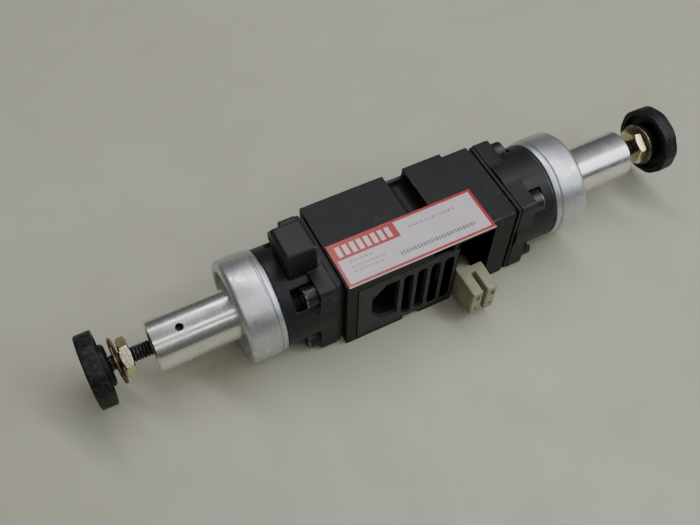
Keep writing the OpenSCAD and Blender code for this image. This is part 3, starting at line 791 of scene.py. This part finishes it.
# ------------------------------------------------------------------ knobs
def knob(side, K, s):
    R, T = 15.0, 6.6
    pts = rounded([
        (K + 4.9, 4.6), (K - 2.2, 4.6, 0.15), (K - 2.2, 7.5, 0.9), (K - 1.2, 8.35, 0.5), (K + 2.4, 8.5, 0.5), (K + 2.4, 12.2, 0.5), (K + 0.0, 12.3, 0.35), (K + 0.0, R, 0.65),
        (K + T, R, 0.85), (K + T, 12.8, 0.35), (K + T - 0.65, 11.9, 0.5), (K + T - 0.65, 3.0, 0.0), (K + T - 0.65, 0.0), (K + 4.95, 0.0), (K + 4.95, 4.5),
    ], 5)

    def rad(a, r, t):
        if r < 12.9:
            return r
        w = math.radians(36)
        d = (t + w / 2) % w - w / 2
        A = r - 0.3
        flat = A / math.cos(d)
        k = (r - 12.9) / 2.1
        # soft meeting of flat and round
        x = flat - r
        soft = r + 0.5 * (x - math.sqrt(x * x + 0.0025)) if k > 0 else r
        return r + (soft - r) * min(1, k)

    me = revolve(pts, side, 240, True, rad)
    smooth_by_angle(me, 30)

    def wear(co):
        a, r = abs(co.x) / MM, math.hypot(co.y / MM, co.z / MM - AX)
        return 1.0 if r > 13.9 and (a < K + 0.7 or a > K + T - 1.0) else 0.0

    add_wear(me, wear)
    return make(s + "_grip", me, s + "_knob", (s + "_knob",), (M_KNOB,))


knob(-1, 128.4, "left")
knob(1, 122.8, "right")


# ------------------------------------------------------------------ adjusting screws with their threads
def screw(side, K, s, bright_to, body):
    P, RO, RI = 1.27, 3.165, 2.62
    a0, a1, n, seg = K - 29.2, K + 4.7, 8, 56
    steps = int((a1 - a0) / P * n)
    me = bpy.data.meshes.new("screw")
    bm = bmesh.new()
    rings = []
    prof = lambda f: RI + (RO - RI) * max(0.0, min(1.0, (1 - abs(2 * f - 1)) * 1.35 - 0.12))
    for i in range(steps + 1):
        a = a0 + (a1 - a0) * i / steps
        ring = []
        for j in range(seg):
            t = 2 * math.pi * j / seg
            r = prof(((a / P) - t / (2 * math.pi)) % 1.0)
            r = min(r, 2.7 + (a - a0) * 0.6)
            ring.append(bm.verts.new((side * a * MM, r * math.cos(t) * MM, (AX + r * math.sin(t)) * MM)))
        rings.append(ring)
    for i in range(steps):
        for j in range(seg):
            k = (j + 1) % seg
            f = bm.faces.new([rings[i][j], rings[i][k], rings[i + 1][k], rings[i + 1][j]])
            f.material_index = 1 if a0 + (a1 - a0) * (i + 0.5) / steps > bright_to else 0
    for ring, a in ((rings[0], K - 29.7), (rings[-1], K + 4.8)):
        end = [bm.verts.new((side * a * MM, 2.45 * math.cos(2 * math.pi * j / seg) * MM, (AX + 2.45 * math.sin(2 * math.pi * j / seg)) * MM)) for j in range(seg)]
        for j in range(seg):
            bm.faces.new([ring[j], ring[(j + 1) % seg], end[(j + 1) % seg], end[j]])
        bm.faces.new(end)
    bmesh.ops.recalc_face_normals(bm, faces=bm.faces)
    bm.to_mesh(me)
    bm.free()
    smooth_by_angle(me, 50)
    add_wear(me, lambda co: 1.0 if math.hypot(co.y / MM, co.z / MM - AX) > 3.05 else 0.0)
    return make(s + "_stud", me, body, (s + "_adjusting_screw",), (M_SCREW, M_SCREW_BRIGHT))


BODY_OF = {o: b for b, os_ in ((frame["record"]["behaviour"]["bodies"]).items()) for o in os_}
screw(-1, 128.4, "left", 128.4 - 6.8, BODY_OF["left_adjusting_screw"])
screw(1, 122.8, "right", 122.8 - 3.0, BODY_OF["right_adjusting_screw"])


# ------------------------------------------------------------------ washers
def washer(side, a, t, tilt, s, mat):
    pts = rounded([(a, 3.7), (a, 5.0), (a, 9.3, 0.28), (a + t, 9.3, 0.42), (a + t, 5.0), (a + t, 3.7, 0.2), (a + t * 0.5, 3.7)], 4)
    me = revolve(pts, 1, 128, True)
    c = Vector(((a + t / 2) * MM, 0, AX * MM))
    me.transform(Matrix.Translation(c) @ Matrix.Rotation(math.radians(tilt), 4, "Y") @ Matrix.Translation(-c))
    if side < 0:
        me.transform(Matrix.Diagonal((-1, 1, 1, 1)))
        me.flip_normals()
    smooth_by_angle(me, 30)
    add_wear(me, lambda co: 1.0 if math.hypot(co.y / MM, co.z / MM - AX) > 8.9 else 0.0)
    return make(s + "_loose_washer", me, BODY_OF[s + "_washer"], (s + "_washer",), (mat,))


washer(-1, 128.4 - 5.6, 1.1, 3.5, "left", M_WASHER)
washer(1, 122.8 - 3.6, 1.1, 0.0, "right", M_WASHER2)

# ------------------------------------------------------------------ springs, with closed end coils, each one between its two seats
def coil(name, side, a, b, r, w, turns, node):
    seg, sides = 40, 12
    n = int(turns * seg)
    free = (b - a - 2 * w - 4 * w * 1.04) / (turns - 2)

    def along(t):
        end = 2 * w * 1.04
        return a + w + (end * t if t < 1 else end + free * (t - 1) if t < turns - 1 else end + free * (turns - 2) + end * (t - turns + 1))

    me = bpy.data.meshes.new(name)
    bm = bmesh.new()
    rings = []
    for i in range(n + 1):
        t = i / seg
        an, x = 2 * math.pi * t, along(t)
        ring = []
        for k in range(sides):
            f = 2 * math.pi * k / sides
            rr = r + w * math.cos(f)
            ring.append(bm.verts.new((side * (x + w * math.sin(f)) * MM, rr * math.cos(an) * MM, (AX + rr * math.sin(an)) * MM)))
        rings.append(ring)
    for p, q in zip(rings, rings[1:]):
        for k in range(sides):
            m = (k + 1) % sides
            bm.faces.new([p[k], p[m], q[m], q[k]])
    bm.faces.new(rings[0])
    bm.faces.new(rings[-1])
    bmesh.ops.recalc_face_normals(bm, faces=bm.faces)
    bm.to_mesh(me)
    bm.free()
    smooth_by_angle(me, 40)
    add_wear(me, lambda co: 0.0)
    me.materials.append(M_SPRING)
    ob = bpy.data.objects.new(name, me)
    coll.objects.link(ob)
    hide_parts(node)
    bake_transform(ob)
    return ob


coil("left_range_coil", -1, 62.0 - 3.85, 128.4 - 31.45, 6.55, 1.0, 8.0, "left_spring")
coil("right_range_coil", 1, 60.0 - 3.85, 122.8 - 31.45, 6.55, 1.0, 8.0, "right_spring")
HB = 76 / 2
coil("left_poppet_coil", -1, 6.9, HB - 12.5, 3.8, 0.45, 7.0, "left_poppet_spring")
coil("right_poppet_coil", 1, 6.9, HB - 12.5, 3.8, 0.45, 7.0, "right_poppet_spring")

# ------------------------------------------------------------------ finishes on the CAD nodes that stay
KEEP = {
    "connector_contacts": M_CONTACT, "pass_wires": M_WIRE,
}
for s in ("left", "right"):
    KEEP.update({
        s + "_cap_gasket": M_RUBBER, s + "_seat": M_BRASS, s + "_seat_oring": M_RUBBER, s + "_piston": M_BRASS, s + "_piston_seal": M_RUBBER,
        s + "_poppet": M_BRASS, s + "_poppet_face": M_RUBBER, s + "_spring_button": M_STEEL_BLACK,
    })
shown = set()
for n, mt in KEEP.items():
    ob = frame["nodes"][n]
    for sl in ob.material_slots:
        sl.material = mt
    if not ob.material_slots:
        ob.data.materials.append(mt)

# ------------------------------------------------------------------ floor and light
fm = bpy.data.meshes.new("floor")
bm = bmesh.new()
bmesh.ops.create_grid(bm, x_segments=8, y_segments=8, size=3.0)
bm.to_mesh(fm); bm.free()
floor = bpy.data.objects.new("floor", fm)
coll.objects.link(floor)
fm.materials.append(M_FLOOR)


def area(name, loc, target, size, power, colour=(1, 1, 1), sy=None, spread=None):
    d = bpy.data.lights.new(name, "AREA")
    d.energy, d.color = power, colour
    d.shape = "RECTANGLE" if sy else "SQUARE"
    d.size = size
    if sy: d.size_y = sy
    o = bpy.data.objects.new(name, d)
    coll.objects.link(o)
    o.location = loc
    dirn = Vector(target) - Vector(loc)
    o.rotation_mode = "QUATERNION"
    o.rotation_quaternion = dirn.to_track_quat("-Z", "Y")
    return o


# long overhead tubes of a ceiling, and a broad cool light from the front right
area("overhead_1", (0.50, 0.20, 1.40), (0.12, 0, 0.02), 2.3, 15.2, (0.98, 0.985, 0.99), 0.19)
area("overhead_2", (-0.10, -0.58, 1.42), (0, 0, 0.02), 1.2, 2.0, (1.0, 0.98, 0.93), 0.045)
area("overhead_3", (-0.10, -1.02, 1.05), (0, 0, 0.02), 1.2, 1.4, (1.0, 0.98, 0.93), 0.045)
area("front_right", (0.75, -0.60, 0.72), (0.12, -0.10, 0.0), 0.8, 4.0, (0.88, 0.94, 1.0), 0.7)

w = bpy.data.worlds.new("world")
bpy.context.scene.world = w
w.use_nodes = True
nt = w.node_tree
bg = nt.nodes["Background"]
tc = nt.nodes.new("ShaderNodeTexCoord")
sp = nt.nodes.new("ShaderNodeSeparateXYZ")
rm = nt.nodes.new("ShaderNodeValToRGB")
nt.links.new(tc.outputs["Generated"], sp.inputs[0])
nt.links.new(sp.outputs[2], rm.inputs[0])
nt.links.new(rm.outputs[0], bg.inputs[0])
e = rm.color_ramp.elements
e[0].position, e[0].color = 0.0, (0.20, 0.19, 0.16, 1)
e[1].position, e[1].color = 1.0, (0.80, 0.82, 0.84, 1)
k = rm.color_ramp.elements.new(0.25)
k.color = (0.32, 0.31, 0.28, 1)
k = rm.color_ramp.elements.new(0.6)
k.color = (0.46, 0.48, 0.52, 1)
bg.inputs[1].default_value = 0.29
